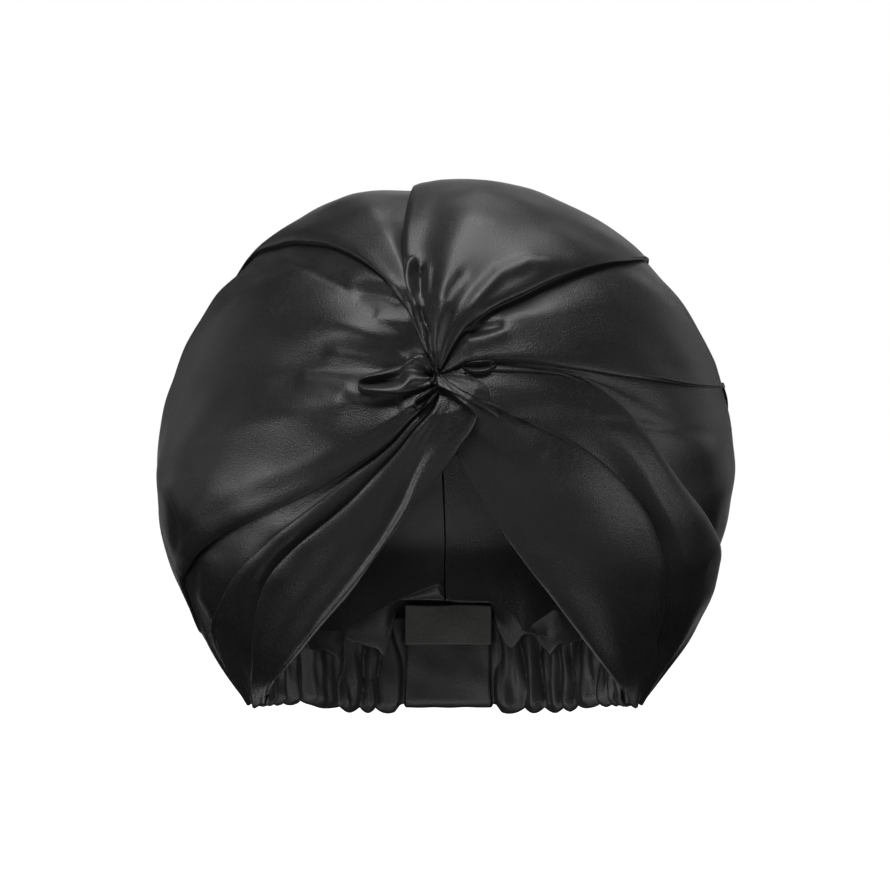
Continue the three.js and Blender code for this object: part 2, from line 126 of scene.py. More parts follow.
# %% Fold table
STATIONS = np.array([5.0, 10.0, 15.0, 26.0, 52.0, 82.0])
LEFT_FOLDS = [
    ("left_edge", (334, 320, 284.5, 258.5, 242.5, 233), (3.2, 2.2, 2, 1.5, 0, 0)),
    ("left_strip", (324, 309, 269, 256, 241.7, 232.7), (3.3, 2.6, 2.4, 2.2, 0.8, 0.2)),
    ("strip_crease", (304, 270, 260, 252.5, 240.5, 232.3), (3.1, 1.7, 1, 0.2, 0, 0)),
    ("left_front", (287, 263, 253.5, 246, 234, 230.6), (3.3, 2.2, 1.9, 2.2, 1.8, 0.2)),
    ("front_lip", (276, 256, 247.5, 238, 227, 229), (3.4, 2.9, 3, 3.6, 3.6, 0.8)),
    ("front_foot", (271, 252.5, 244.5, 235, 224, 227.5), (2, 1.2, 0.8, 0.2, -0.4, -0.5)),
    ("pleat_lip", (261, 247, 240.5, 229.5, 220, 218.5), (2.6, 2.4, 2.4, 2, 2.8, -0.6)),
    ("pleat_foot", (257, 244, 238, 227.5, 218, 216), (1.5, 1, 0.8, 0.2, -0.2, -1.6)),
    ("dome_foot", (253, 240.5, 235.3, 224.5, 210, 204.5), (-0.5, -0.6, -0.8, -1.4, -2, -2.4)),
    ("dome_lip", (248, 236, 231, 221, 206.5, 202), (2, 3, 3.8, 4.8, 5, 0.5)),
    ("dome_roll", (238, 227, 221.5, 212, 200.5, 197), (3, 4.4, 5.4, 6.8, 6.2, 0.8)),
    ("dome_crest", (210, 203, 199, 195, 188, 186), (2, 4, 5, 6.5, 5, 0)),
    ("hollow", (164, 168, 170, 172, 172, 170), (-4, -4, -3.4, -2, 2, 0)),
    ("shoulder", (141, 143.5, 146, 149, 152, 155), (-1, 0.5, 2, 3, 3, 0)),
    ("left_seam", (126, 127, 128, 130.3, 133.8, 140), (0.5, 0.2, 0, -0.3, 0, 0)),
    ("tuck_foot", (112, 112, 112.5, 117, 128.5, 137), (0, 0.2, 0.4, 0.4, 0.4, 0.2)),
    ("tuck_lip", (110, 109.5, 109.7, 113.5, 125.5, 134.5), (1, 1.2, 1.8, 3.8, 4, 1.8)),
    ("left_top", (107, 107, 107, 107, 110, 112), (1, 1.5, 2.4, 4.5, 4.5, 2.5)),
    ("lap_foot", (100, 100, 100, 99, 94.5, 93), (-2, -1.8, -1.4, -1, -0.8, 0.4)),
]
RIGHT_FOLDS = [
    ("lap_lip", (113, 111, 109.5, 104.8, 97, 93), (2.5, 3, 3.5, 3.8, 3.5, 0.8)),
    ("ear_ridge", (109.5, 108, 106.8, 102.5, 95, 91), (3, 4, 4.5, 5, 4.2, 2)),
    ("ear_groove", (104, 102, 100.5, 97.5, 91, 88), (2.5, 3, 3.6, 4.6, 4.8, 2.4)),
    ("stem", (92.5, 88, 85, 82, 78, 76), (5, 7.5, 8.4, 9, 7, 3)),
    ("pillow", (80, 74, 70, 63, 59, 61), (3.6, 5.2, 6, 7, 6.4, 3)),
    ("pillow_lip", (71, 66, 58.5, 50, 44.5, 48), (2.8, 4.6, 6, 7.4, 6.2, 2)),
    ("pillow_foot", (65, 61, 53.5, 45.5, 41, 44.5), (0, 0.6, 1, 1.4, 3.2, 1.6)),
    ("right_band", (50, 46, 40, 31, 27, 31), (2, 3, 3.8, 4.2, 4.2, 1.4)),
    ("band_ridge", (41, 33, 27, 18, 13.5, 20), (2.5, 3.2, 3.6, 4, 4.5, 1)),
    ("shelf_lip", (31, 20.5, 14.5, 9.3, 9.5, 17), (3, 3.6, 4, 4, 3.8, 0.8)),
    ("shelf_foot", (27.5, 17.5, 11.5, 5.8, 6.3, 14.5), (0.5, 0.6, 0.7, 0.9, 2.8, 0.6)),
    ("right_side", (18, 12, 8, 4, -4, -2), (1.2, 0.9, 0.4, -0.1, 0.8, 0.4)),
    ("flap_foot", (11, 8, 6, 3.5, -15.5, -19), (1.6, 1.2, 0.6, -0.5, -3, -2)),
    ("flap_lip", (5.5, 3.5, 2, 0.5, -18.5, -22.5), (2, 1.7, 1.2, 0.6, 4.8, 3.5)),
    ("flap_roll", (-16, -14, -12, -9, -24, -33), (3.4, 3, 2.4, 1.6, 4.4, 4)),
    ("flap_crease", (-40, -33, -28, -23.5, -28.5, -42.5), (5, 4, 2.4, 0, -1.6, -2.5)),
    ("flap_edge", (-47, -40, -34, -27.5, -31.5, -45.5), (4, 3.4, 2.2, 1, 3, 1.5)),
    ("flap", (-66, -60, -54, -45, -46, -50.5), (-1.5, -1.4, -0.8, 2.2, 4, 1)),
    ("right_edge", (-88, -82, -75.5, -68.5, -59, -53), (-3, -2.6, -2, -1, 0, 0)),
]
LIP_FIRST = {"front_lip", "pleat_lip", "pillow_lip", "shelf_lip"}
LIP_SECOND = {"dome_foot", "tuck_foot", "flap_foot", "flap_crease"}
RIM = STATIONS[-1]
LEFT_EDGE_TURN = np.array(LEFT_FOLDS[0][1], float)
RIGHT_EDGE_TURN = np.array(RIGHT_FOLDS[-1][1], float)
print(len(LEFT_FOLDS) + len(RIGHT_FOLDS), "fold lines;", len(LIP_FIRST | LIP_SECOND), "folds roll over")

# %% [markdown]
# ## Between the lines
# On the bonnet a fold leaves the knot narrow, opens and dies away. Along a line, a smooth curve goes
# through its six values. Across, from one line to the next, the lift follows a soft S. Where a lip meets
# its foot, the S is pulled over so far that the lip hangs above the foot. A displacement map could only
# push the cloth straight out; this overhang gives the dark, sharp shadow that a real fold has.

# %% Curves along and across the folds
LIP_TURNS = (0.0, 1.0, -1.3, 1.0)
LIP_LIFTS = (0.0, -0.05, 0.85, 1.0)
LIP_LEANS_AT = 0.6


def along(values, distance):
    values = np.asarray(values, float)
    d = np.clip(distance, STATIONS[0], STATIONS[-1])
    i = np.clip(np.searchsorted(STATIONS, d, side="right") - 1, 0, len(STATIONS) - 2)
    slopes = np.gradient(values, STATIONS, axis=-1)
    slopes[..., 1:-1] = (values[..., 2:] - values[..., :-2]) / (STATIONS[2:] - STATIONS[:-2])
    span = STATIONS[i + 1] - STATIONS[i]
    f = (d - STATIONS[i]) / span
    rise = values[..., i + 1] - values[..., i]
    entry = slopes[..., i] * span - rise
    leave = slopes[..., i + 1] * span - rise
    return values[..., i] + rise * f + f * (1 - f) * ((1 - f) * entry - f * leave)


def bezier(ends, f):
    a, b, c, d = ends
    return a * (1 - f) ** 3 + 3 * b * f * (1 - f) ** 2 + 3 * c * f**2 * (1 - f) + d * f**3


def across(name, part):
    if name in LIP_SECOND:
        return bezier(LIP_TURNS, part), bezier(LIP_LIFTS, part)
    if name in LIP_FIRST:
        return 1 - bezier(LIP_TURNS, 1 - part), 1 - bezier(LIP_LIFTS, 1 - part)
    return part, smooth(part)


lean = -float(bezier(LIP_TURNS, LIP_LEANS_AT))
print("a lip leans back over its foot by", round(lean, 2), "of their spacing")

# %% [markdown]
# ## The grid of a crown half
# Each half is one piece of cloth, so it is one grid: columns follow the fold lines out from the knot, and
# rings cross them. Subdividing a coarse cage would round the lips off, so the grid is fine from the
# start, one to two millimetres of cloth, and finer at the lips and near the knot. In front of the rim the
# rings are distances from the knot; behind it they are shares of the way down to the hem. At the hem the
# columns stand evenly between the lines, so that no fold is still doubled over there.

# %% Rings
FRONT_STOPS = (1.6, 14, 34, RIM)
FRONT_COUNTS = (40, 34, 60)
BACK_STOPS = (0, 0.66, 1)
BACK_COUNTS = (34, 52)


def rings_between(stops, counts):
    runs = [np.linspace(*run) for run in zip(stops, stops[1:], counts)]
    return np.concatenate([runs[0], *(run[1:] for run in runs[1:])])


FRONT_RINGS = rings_between(FRONT_STOPS, FRONT_COUNTS)
BACK_RINGS = rings_between(BACK_STOPS, BACK_COUNTS)[1:]
print("rings:", len(FRONT_RINGS), "in front and", len(BACK_RINGS), "behind")

# %% Columns
COLUMN_STEP = 1.5
FEWEST_COLUMNS = 3
LIP_COLUMNS = 12
BROADEST = 4


def columns_of(folds):
    rows, turn_share, lift_share, even_share = [], [], [], []
    for row, (name, turn, _) in enumerate(folds[:-1]):
        apart = abs(turn[BROADEST] - folds[row + 1][1][BROADEST]) * RAD
        width = apart * HALF_WIDTH * math.sin(STATIONS[BROADEST] * RAD)
        rolled = name in LIP_FIRST or name in LIP_SECOND
        count = LIP_COLUMNS if rolled else max(FEWEST_COLUMNS, round(width / COLUMN_STEP))
        part = np.arange(count) / count
        turn_part, lift_part = across(name, part)
        rows += [row] * count
        turn_share += list(turn_part)
        lift_share += list(lift_part)
        even_share += list(part)
    rows.append(len(folds) - 2)
    for share in (turn_share, lift_share, even_share):
        share.append(1.0)
    return np.array(rows), np.array(turn_share), np.array(lift_share), np.array(even_share)


def spread(folds, column, rings):
    rows, turn_share, lift_share, _ = column
    turns = along([f[1] for f in folds], rings)
    lifts = along([f[2] for f in folds], rings)
    turn = turns[rows] + (turns[rows + 1] - turns[rows]) * turn_share[:, None]
    lift = lifts[rows] + (lifts[rows + 1] - lifts[rows]) * lift_share[:, None]
    return turn.T, lift.T


def hem_turns(folds, column):
    rows, _, _, even_share = column
    turns = np.array([f[1][-1] for f in folds], float)
    return turns[rows] + (turns[rows + 1] - turns[rows]) * even_share


LEFT_COLUMNS = columns_of(LEFT_FOLDS)
RIGHT_COLUMNS = columns_of(RIGHT_FOLDS)
print("columns:", len(LEFT_COLUMNS[0]), "left and", len(RIGHT_COLUMNS[0]), "right")

# %% [markdown]
# ## Small unevenness
# Satin is never quite smooth: it swims in low waves. A noise texture on a Displace modifier could give
# them, but they are needed again below, to lay the knot's folds on the same cloth. So a few sine waves in
# seeded directions are added up, the same on every run. They fade out at the knot, where the cloth is
# stretched.

# %% Waves in the cloth
WAVE_SEED = 11
WAVES_ADDED = 9
SHORTEST_SHARE = 0.7
LONGEST_SHARE = 1.5
LONG_WAVE = 62
LONG_WAVE_HEIGHT = 0.5
SHORT_WAVE = 27
SHORT_WAVE_HEIGHT = 0.25
TAUT_TO = 6
TAUT_FADE = 20


def waves(points, wavelength, seed):
    rng = np.random.default_rng(seed)
    total = np.zeros(points.shape[:-1])
    for _ in range(WAVES_ADDED):
        way = unit(rng.normal(size=3))
        length = wavelength * rng.uniform(SHORTEST_SHARE, LONGEST_SHARE)
        total += np.sin(points @ way * (2 * math.pi / length) + rng.uniform(0, 2 * math.pi))
    return total / math.sqrt(WAVES_ADDED / 2)


def unevenness(direction, distance):
    place = direction * HALF_WIDTH
    low = LONG_WAVE_HEIGHT * waves(place, LONG_WAVE, WAVE_SEED)
    low = low + SHORT_WAVE_HEIGHT * waves(place, SHORT_WAVE, WAVE_SEED + 1)
    return low * smooth((distance - TAUT_TO) / TAUT_FADE)


print("waves of about", LONG_WAVE, "and", SHORT_WAVE, "mm, mostly under a millimetre high")

# %% [markdown]
# ## Chalk marks
# Small pleats, pockets and soft valleys don't run out from the knot, so they don't fit the fold table.
# They are drawn on the cloth like a tailor's chalk marks: a line in the front view, in pixels of the
# camera's picture, how high or deep the cloth goes there in millimetres, and how wide the mark is on each
# side of the line. Two widths let one side be steep, as under the lip of a pleat, and the other soft.
# Sculpting them would be quicker once, but a line of numbers can be moved later.

# %% View of the front
CAMERA_BACK_MM = 1600.0
CAMERA_HEIGHT_MM = 114.2
PICTURE_HALF = 445.0
MM_PER_PIXEL = 0.441


def picture_place(points):
    nearer = CAMERA_BACK_MM / (CAMERA_BACK_MM + points[..., 1]) / MM_PER_PIXEL
    across_picture = PICTURE_HALF + points[..., 0] * nearer
    down_picture = PICTURE_HALF - (points[..., 2] - CAMERA_HEIGHT_MM) * nearer
    return np.stack([across_picture, down_picture], axis=-1)


print("knot in the picture:", np.round(picture_place(on_ball(KNOT, 1.0, -KNOT_DIMPLE)), 1))

# %% Marks on the front
LEFT_MARKS = [
    ([(340, 284), (365, 279), (388, 283), (408, 293)], 1.3, 9, 6),
    ([(350, 293), (380, 294), (408, 303)], -1.2, 7, 8),
    ([(372, 317), (395, 321), (415, 324)], 1.0, 11, 5),
    ([(318, 347), (360, 351), (395, 348), (428, 344)], -2.2, 11, 13),
    ([(295, 378), (330, 380), (358, 386)], 1.6, 6, 8),
    ([(335, 399), (370, 405), (405, 398)], -1.6, 8, 24),
    ([(357, 293), (330, 280), (300, 265), (279, 255)], -0.6, 4, 4),
    ([(165, 472), (174, 500), (184, 524), (184, 545), (178, 566)], 1.0, 16, 4),
    ([(206, 548), (203, 580), (201, 608)], 1.0, 12, 4),
    ([(281, 258), (230, 290), (202, 327), (182, 375)], -1.2, 9, 14),
]
RIGHT_MARKS = [
    ([(419, 257), (409, 265), (405, 277), (407, 290), (412, 301)], 2.4, 4, 4.5),
    ([(420, 264), (420, 280), (421, 296)], -2.2, 3.5, 4),
    ([(429, 262), (428, 280), (428, 300)], 0.7, 3, 6),
    ([(413, 301), (420, 320), (427, 338)], 1.6, 2.5, 2.5),
    ([(419, 306), (424, 326)], -1.3, 2.5, 2.5),
    ([(456, 322), (470, 308), (482, 293), (500, 274), (530, 262), (570, 264)], 1.5, 8, 7),
    ([(444, 302), (452, 286), (468, 268)], -0.8, 6, 6),
    ([(466, 331), (486, 327), (506, 322)], -2.4, 5, 6),
    ([(460, 344), (482, 340), (508, 331)], 1.0, 7, 10),
    ([(488, 412), (515, 433), (550, 462)], 0.6, 12, 8),
    ([(464, 366), (478, 367), (493, 363)], -1.4, 4, 4),
    ([(493, 417), (530, 417.5), (564, 418), (628, 423), (680, 430), (733, 437)], -0.6, 4, 4.5),
]
print("chalk marks:", len(LEFT_MARKS), "on the left half and", len(RIGHT_MARKS), "on the right")

# %% Cloth under a mark
MARK_END_SHARE = 0.18
MARK_END_HEIGHT = 0.15
MARKS_FADE = 15


def mark_lift(place, path, height, left_width, right_width):
    path = np.array(path, float)
    steps = np.diff(path, axis=0)
    lengths = np.linalg.norm(steps, axis=-1)
    reached = np.concatenate([[0], np.cumsum(lengths)])
    best = np.full(place.shape[:-1], np.inf)
    side = np.zeros_like(best)
    way = np.zeros_like(best)
    for k, step in enumerate(steps):
        gap = place - path[k]
        f = np.clip((gap @ step) / (lengths[k] ** 2), 0, 1)
        far = np.linalg.norm(gap - f[..., None] * step, axis=-1)
        nearer = far < best
        best = np.where(nearer, far, best)
        side = np.where(nearer, step[0] * gap[..., 1] - step[1] * gap[..., 0], side)
        way = np.where(nearer, (reached[k] + f * lengths[k]) / reached[-1], way)
    width = np.where(side > 0, right_width, left_width)
    ends = smooth(way / MARK_END_SHARE) * smooth((1 - way) / MARK_END_SHARE)
    return height * bell(best, width) * (MARK_END_HEIGHT + (1 - MARK_END_HEIGHT) * ends)


def marked(points, marks):
    place = picture_place(points)
    lift = np.zeros(points.shape[:-1])
    for mark in marks:
        lift += mark_lift(place, *mark)
    return lift * smooth(-points[..., 1] / MARKS_FADE)


deepest = min(height for _, height, _, _ in LEFT_MARKS + RIGHT_MARKS)
print("deepest mark:", deepest, "mm")

# %% [markdown]
# ## From the knot to the rim
# In front the cloth follows the ball, dimpled at the knot. The two flaps are pulled between the knot and
# their tips, so their edges run straighter than a ball's surface would. That pull is one more lift,
# strongest half way along the edge and fading into the cloth, so the edge stays one smooth line with the
# folds.

# %% Pull along the flap edges
EDGE_PULL = 15
EDGE_REACH = 38
EDGE_START = 8
EDGE_END = 88


def edge_pull(turn, distance, reached):
    per_degree = HALF_WIDTH * np.sin(distance * RAD) * RAD
    from_left = (along(LEFT_EDGE_TURN, distance) - turn) * per_degree
    from_right = (turn - along(RIGHT_EDGE_TURN, distance)) * per_degree
    near = bell(from_left, EDGE_REACH) + bell(from_right, EDGE_REACH)
    way = np.clip((reached - EDGE_START) / (EDGE_END - EDGE_START), 0, 1)
    return EDGE_PULL * near * np.sin(math.pi * way)


print("flap edges are pulled in by about", EDGE_PULL, "mm half way down")

# %% Cloth in front
def front_points(folds, column, marks):
    turn, lift = spread(folds, column, FRONT_RINGS)
    distance = FRONT_RINGS[:, None]
    direction = from_knot(turn, distance)
    lift = lift - KNOT_DIMPLE * bell(distance, DIMPLE_REACH) - edge_pull(turn, distance, distance)
    lift = lift + unevenness(direction, distance)
    whole = np.ones_like(turn)
    lift = lift + marked(on_ball(direction, whole, lift), marks)
    return on_ball(direction, whole, lift)


left_front = front_points(LEFT_FOLDS, LEFT_COLUMNS, LEFT_MARKS)
right_front = front_points(RIGHT_FOLDS, RIGHT_COLUMNS, RIGHT_MARKS)
print("cloth in front:", left_front.shape[:2], "and", right_front.shape[:2], "points")

# %% [markdown]
# ## On to the hem
# Behind the rim the crown is plain. Each column bends round to its own place on the hem, where the cloth
# is drawn in and puffs a little between the gathers, as cloth does above an elastic band. A curve with
# two handles does it: it leaves the rim in the fold's own direction and comes down to the hem upright.

# %% Hem
HEM_RADIUS_X = 85
HEM_RADIUS_Y = 86.2
HEM_TIP_TURN = 116
HEM_TIP_FLARE = 2.6
HEM_FLARE_FROM = 0.75
HEM_TIP_Z = 3
HEM_NAPE_Z = 28
HEM_LOW_SHARE = 0.78
HEM_HIGH_SHARE = 0.28
NAPE_TURN = 93


def hem_of(turn):
    tip = np.where(turn > NAPE_TURN, LEFT_EDGE_TURN[-1], RIGHT_EDGE_TURN[-1])
    way = (NAPE_TURN - turn) / np.abs(NAPE_TURN - tip)
    angle = way * HEM_TIP_TURN * RAD
    climb = smooth((HEM_LOW_SHARE - np.abs(way)) / (HEM_LOW_SHARE - HEM_HIGH_SHARE))
    height = HEM_TIP_Z + (HEM_NAPE_Z - HEM_TIP_Z) * climb
    flare = HEM_TIP_FLARE * smooth((np.abs(way) - HEM_FLARE_FROM) / (1 - HEM_FLARE_FROM))
    right = (HEM_RADIUS_X + flare) * np.sin(angle)
    back = (HEM_RADIUS_Y + flare) * np.cos(angle)
    return np.stack([right, back, height], axis=-1), way


print("hem at the nape:", np.round(hem_of(np.array([NAPE_TURN]))[0][0], 1), "mm")

# %% Cloth behind
QUARTER_TURN = 90
BACK_HANDLE = 0.36
HEM_TUCK = 70
PUFF_COUNT = 13
PUFF_DEPTH = 3
FOLDS_GONE_SHARE = 0.85
SEAM_SHIFT = 0.25


def back_points(folds, column):
    turns, lifts = spread(folds, column, np.array([RIM]))
    turn, rim_lift = turns[0], lifts[0]
    share = BACK_RINGS[:, None]
    start = from_knot(turn, np.full_like(turn, RIM))
    onward = from_knot(turn, np.full_like(turn, RIM + QUARTER_TURN))
    hem, way = hem_of(hem_turns(folds, column))
    from_middle = hem - np.array([0, 0, CROWN_MID_Z])
    scaled = from_middle / ball_sizes(from_middle / HALF_WIDTH)
    drawn_in = np.linalg.norm(scaled, axis=-1)
    end = unit(scaled)
    down = unit(np.array([0, 0, -1.0]) + end * end[:, 2:])
    arc = np.arccos(np.clip((start * end).sum(-1), -1, 1))
    reach = (arc * BACK_HANDLE)[:, None]
    line = bezier((start, start + onward * reach, end - down * reach, end), share[..., None])
    direction = unit(line)
    tuck_from = np.maximum(1 - HEM_TUCK / (HALF_WIDTH * arc), 0)
    tuck = np.clip((share - tuck_from) / (1 - tuck_from), 0, 1) ** 2
    puff = 0.5 - 0.5 * np.cos(2 * math.pi * PUFF_COUNT * way)
    fold = rim_lift * (1 - smooth(share / FOLDS_GONE_SHARE))
    pull = edge_pull(turn, np.full_like(turn, RIM), RIM + (EDGE_END - RIM) * share)
    lift = fold + PUFF_DEPTH * puff * tuck - pull
    lift = lift + unevenness(direction, RIM) * (1 - tuck)
    return on_ball(direction, 1 + (drawn_in - 1) * tuck, lift)


left_outside = np.concatenate([left_front, back_points(LEFT_FOLDS, LEFT_COLUMNS)])
right_outside = np.concatenate([right_front, back_points(RIGHT_FOLDS, RIGHT_COLUMNS)])
left_outside[:, -1, 0] -= SEAM_SHIFT
right_outside[:, 0, 0] += SEAM_SHIFT
print("outside grids:", left_outside.shape[:2], "and", right_outside.shape[:2], "points")

# %% [markdown]
# ## Cloth with two faces
# A sheet with no thickness has no edge to catch the light. A Solidify modifier would give it one, but the
# lining below has to leave the wall, so both faces are made here. The inside face is the outside one
# moved back along its own normals, and the two are joined by a rounded border all the way round, as a
# turned and pressed hem is. The same helper closes every sheet of the bonnet, into one mesh with no loose
# faces.

# %% Inside faces
CLOTH_WALL = 1.3


def grid_normals(grid):
    ring_way = np.gradient(grid, axis=0)
    column_way = np.gradient(grid, axis=1)
    return unit(np.cross(column_way, ring_way))


left_inside = left_outside - grid_normals(left_outside) * CLOTH_WALL
right_inside = right_outside - grid_normals(right_outside) * CLOTH_WALL
print("doubled cloth:", CLOTH_WALL, "mm")

# %% Closed sheets
HAIRLINE = 1e-9


def border_loop(rings, columns):
    top = [(0, c) for c in range(columns)]
    right = [(r, columns - 1) for r in range(1, rings)]
    bottom = [(rings - 1, c) for c in range(columns - 2, -1, -1)]
    left = [(r, 0) for r in range(rings - 2, 0, -1)]
    return np.array(top + right + bottom + left)


def facing_out(points, faces):
    a, b, c, d = (points[faces[:, k]] for k in range(4))
    volume = (a * (np.cross(b, c) + np.cross(c, d))).sum()
    return faces if volume > 0 else faces[:, ::-1]


def rounded_border(outside, inside, loop):
    rings, columns = outside.shape[:2]
    out_edge = outside[loop[:, 0], loop[:, 1]]
    in_edge = inside[loop[:, 0], loop[:, 1]]
    next_in = np.clip(loop, 1, [rings - 2, columns - 2])
    middle = (out_edge + in_edge) / 2
    behind = (outside[next_in[:, 0], next_in[:, 1]] + inside[next_in[:, 0], next_in[:, 1]]) / 2
    away = unit(middle - behind + HAIRLINE)
    half_wall = np.linalg.norm(out_edge - in_edge, axis=-1, keepdims=True) / 2
    return middle + away * np.minimum(half_wall, CLOTH_WALL / 2)


def closed_sheet(outside, inside):
    rings, columns = outside.shape[:2]
    layer = rings * columns
    loop = border_loop(rings, columns)
    border = rounded_border(outside, inside, loop)
    points = np.concatenate([outside.reshape(-1, 3), inside.reshape(-1, 3), border])
    index = np.arange(layer).reshape(rings, columns)
    quads = np.stack([index[:-1, :-1], index[1:, :-1], index[1:, 1:], index[:-1, 1:]], axis=-1)
    face = quads.reshape(-1, 4)
    back = face[:, ::-1] + layer
    edge = index[loop[:, 0], loop[:, 1]]
    mid = np.arange(len(loop)) + 2 * layer
    near = np.stack([edge, np.roll(edge, -1), np.roll(mid, -1), mid], axis=-1)
    far = np.stack([mid, np.roll(mid, -1), np.roll(edge, -1), edge], axis=-1)
    far[:, 2:] += layer
    return points, facing_out(points, np.concatenate([face, back, near, far]))


print("points round the border of a crown half:", len(border_loop(*left_outside.shape[:2])))

# %% Meshes
SHARP_EDGE = 75


def make_piece(name, points, faces):
    mesh = bpy.data.meshes.new(name)
    mesh.from_pydata((points * MM).tolist(), [], faces.tolist())
    mesh.validate()
    mesh.polygons.foreach_set("use_smooth", np.ones(len(mesh.polygons), bool))
    mesh.set_sharp_from_angle(angle=SHARP_EDGE * RAD)
    mesh.update()
    piece = bpy.data.objects.new(name, mesh)
    bpy.context.scene.collection.objects.link(piece)
    print(name, "has", len(mesh.polygons), "faces")
    return piece


print("edges sharper than", SHARP_EDGE, "degrees stay sharp")

# %% [markdown]
# ## The lining over the band
# At the nape the crown's lining hangs in front of the elastic band like a small curtain. Its edge runs in
# straight lines from the flaps to the middle, lower on the left, and ends just above the label. Under it
# a second fold of the same cloth shows in points. A sheet of its own would need its upper edge hidden, so
# the last rows of the inside face are used: they leave the wall, hang down to the first edge, turn under
# to the second, and climb over the band's top to the hem outside. Towards the sides both edges are
# gathered up, clear of the band.

# %% Edges of the lining
CURTAIN_EDGE = [
    (-82, 34), (-60, 31), (-44, 30), (-17, 43.5), (-6, 48.6), (-2.5, 50), (0, 45), (3, 42.4),
    (17, 42.2), (24, 38.5), (29, 36), (32, 29), (36, 32.5), (47, 39.4), (60, 36), (82, 34),
]
SECOND_EDGE = [
    (-82, 30), (-60, 22), (-48, 21), (-41, 17), (-38.5, 26), (-35, 24), (-25, 21), (-22, 17),
    (-19.5, 28), (-17, 43), (17, 42), (19, 30), (22.5, 22), (25, 21), (29, 27), (33, 28),
    (36, 23), (40.5, 18.5), (44, 23), (50, 24.5), (60, 26), (82, 30),
]
SIDES_FROM = 56
SIDES_OVER = 12
CURTAIN_AT_SIDES = 46
SECOND_AT_SIDES = 44
SECOND_BELOW = 0.5


def edge_height(edge, angle):
    spots = np.array(edge, float)
    return np.interp(angle, spots[:, 0], spots[:, 1])


def lining_edges(angle):
    gathered_up = smooth((np.abs(angle) - SIDES_FROM) / SIDES_OVER)
    first = edge_height(CURTAIN_EDGE, angle)
    second = edge_height(SECOND_EDGE, angle)
    first = first + (CURTAIN_AT_SIDES - first) * gathered_up
    second = second + (SECOND_AT_SIDES - second) * gathered_up
    return first, np.minimum(second, first - SECOND_BELOW)


lowest_point = min(height for _, height in SECOND_EDGE)
print("the second fold's points come down to", lowest_point, "mm")

# %% Places round the nape, and curves through them
CURTAIN_RADIUS = 67.4


def nape_point(angle, radius, height):
    a, r, z = np.broadcast_arrays(np.asarray(angle, float) * RAD, radius, height)
    return np.stack([r * np.sin(a), r * np.cos(a), z], axis=-1)


def curve_through(points, count):
    ends = [2 * points[0] - points[1], *points, 2 * points[-1] - points[-2]]
    knots = np.array(ends)
    t = np.linspace(0, len(points) - 1, count)
    i = np.minimum(t.astype(int), len(points) - 2)
    f = (t - i).reshape((-1,) + (1,) * (knots.ndim - 1))
    a, b, c, d = knots[i], knots[i + 1], knots[i + 2], knots[i + 3]
    bent = (2 * a - 5 * b + 4 * c - d) * f**2 + (3 * b - a - 3 * c + d) * f**3
    return 0.5 * (2 * b + (c - a) * f + bent)


curtain_middle = nape_point(0.0, CURTAIN_RADIUS, edge_height(CURTAIN_EDGE, 0.0))
print("curtain's edge at the middle of the nape:", np.round(curtain_middle, 1), "mm")

# %% Hanging lining
TAIL_ROWS = 61
BAND_TOP_Z = 38
OVER_BAND_Z = BAND_TOP_Z + 3.4
LINING_BULGE = 4
LINING_END = 84
LINING_FADE = 14
LINING_SEAM = 0.4


def lining_path(start, angle, hem_height):
    first, second = lining_edges(angle)
    stations = [
        ("hung free of the wall", 75, 75),
        ("slack", 69.4, 60),
        ("above the edge", 67.6, first + 3),
        ("curtain edge", CURTAIN_RADIUS, first),
        ("turned under", 69, first + 0.8),
        ("under the curtain", 72.6, (first + second) / 2),
        ("second edge", 73.2, second),
        ("turned up", 74.8, second + 2.5),
        ("behind the second fold", 75.8, np.maximum(OVER_BAND_Z - 4, second + 1)),
        ("over the band", 79.5, OVER_BAND_Z),
        ("outside the band", 83.4, BAND_TOP_Z - 0.5),
        ("hem", 84.6, hem_height + 1.2),
    ]
    hung = [nape_point(angle, radius, height) for _, radius, height in stations]
    bulge = start + (hung[0] - start) * 0.5 + nape_point(angle, 1, 0) * LINING_BULGE
    return [start, bulge, *hung]


def hang_lining(inside, turn):
    hem, way = hem_of(turn)
    angle = way * HEM_TIP_TURN
    path = lining_path(inside[-TAIL_ROWS - 1], angle, hem[:, 2])
    hung = curve_through(path, TAIL_ROWS + 1)[1:]
    weight = smooth((LINING_END - np.abs(angle)) / LINING_FADE)
    lined = inside.copy()
    lined[-TAIL_ROWS:] += (hung - lined[-TAIL_ROWS:]) * weight[:, None]
    return lined


left_inside = hang_lining(left_inside, hem_turns(LEFT_FOLDS, LEFT_COLUMNS))
right_inside = hang_lining(right_inside, hem_turns(RIGHT_FOLDS, RIGHT_COLUMNS))
left_inside[:, -1, 0] -= LINING_SEAM
right_inside[:, 0, 0] += LINING_SEAM
print("lining leaves the wall at", np.round(left_outside[-TAIL_ROWS - 1, -1], 1), "mm")

# %% Crown pieces
crown_left = make_piece("crown_left_cloth", *closed_sheet(left_outside, left_inside))
crown_right = make_piece("crown_right_cloth", *closed_sheet(right_outside, right_inside))

# %% [markdown]
# ## The knot
# Where the halves cross, four small folds are caught in the twist: a crumpled one to the left, puffed
# near the knot and open like a mouth at its far end, a short one below it, a long pleat that runs down to
# the right, and a small loop to the right. A simulated knot would hardly come to rest in this shape, so
# each fold is a leaf of cloth between an upper and a lower outline, drawn in the front view like the
# chalk marks. Its rims stand up, its middle sinks or swells, and its edges turn down into the cloth it
# lies on, so that it joins without a gap.

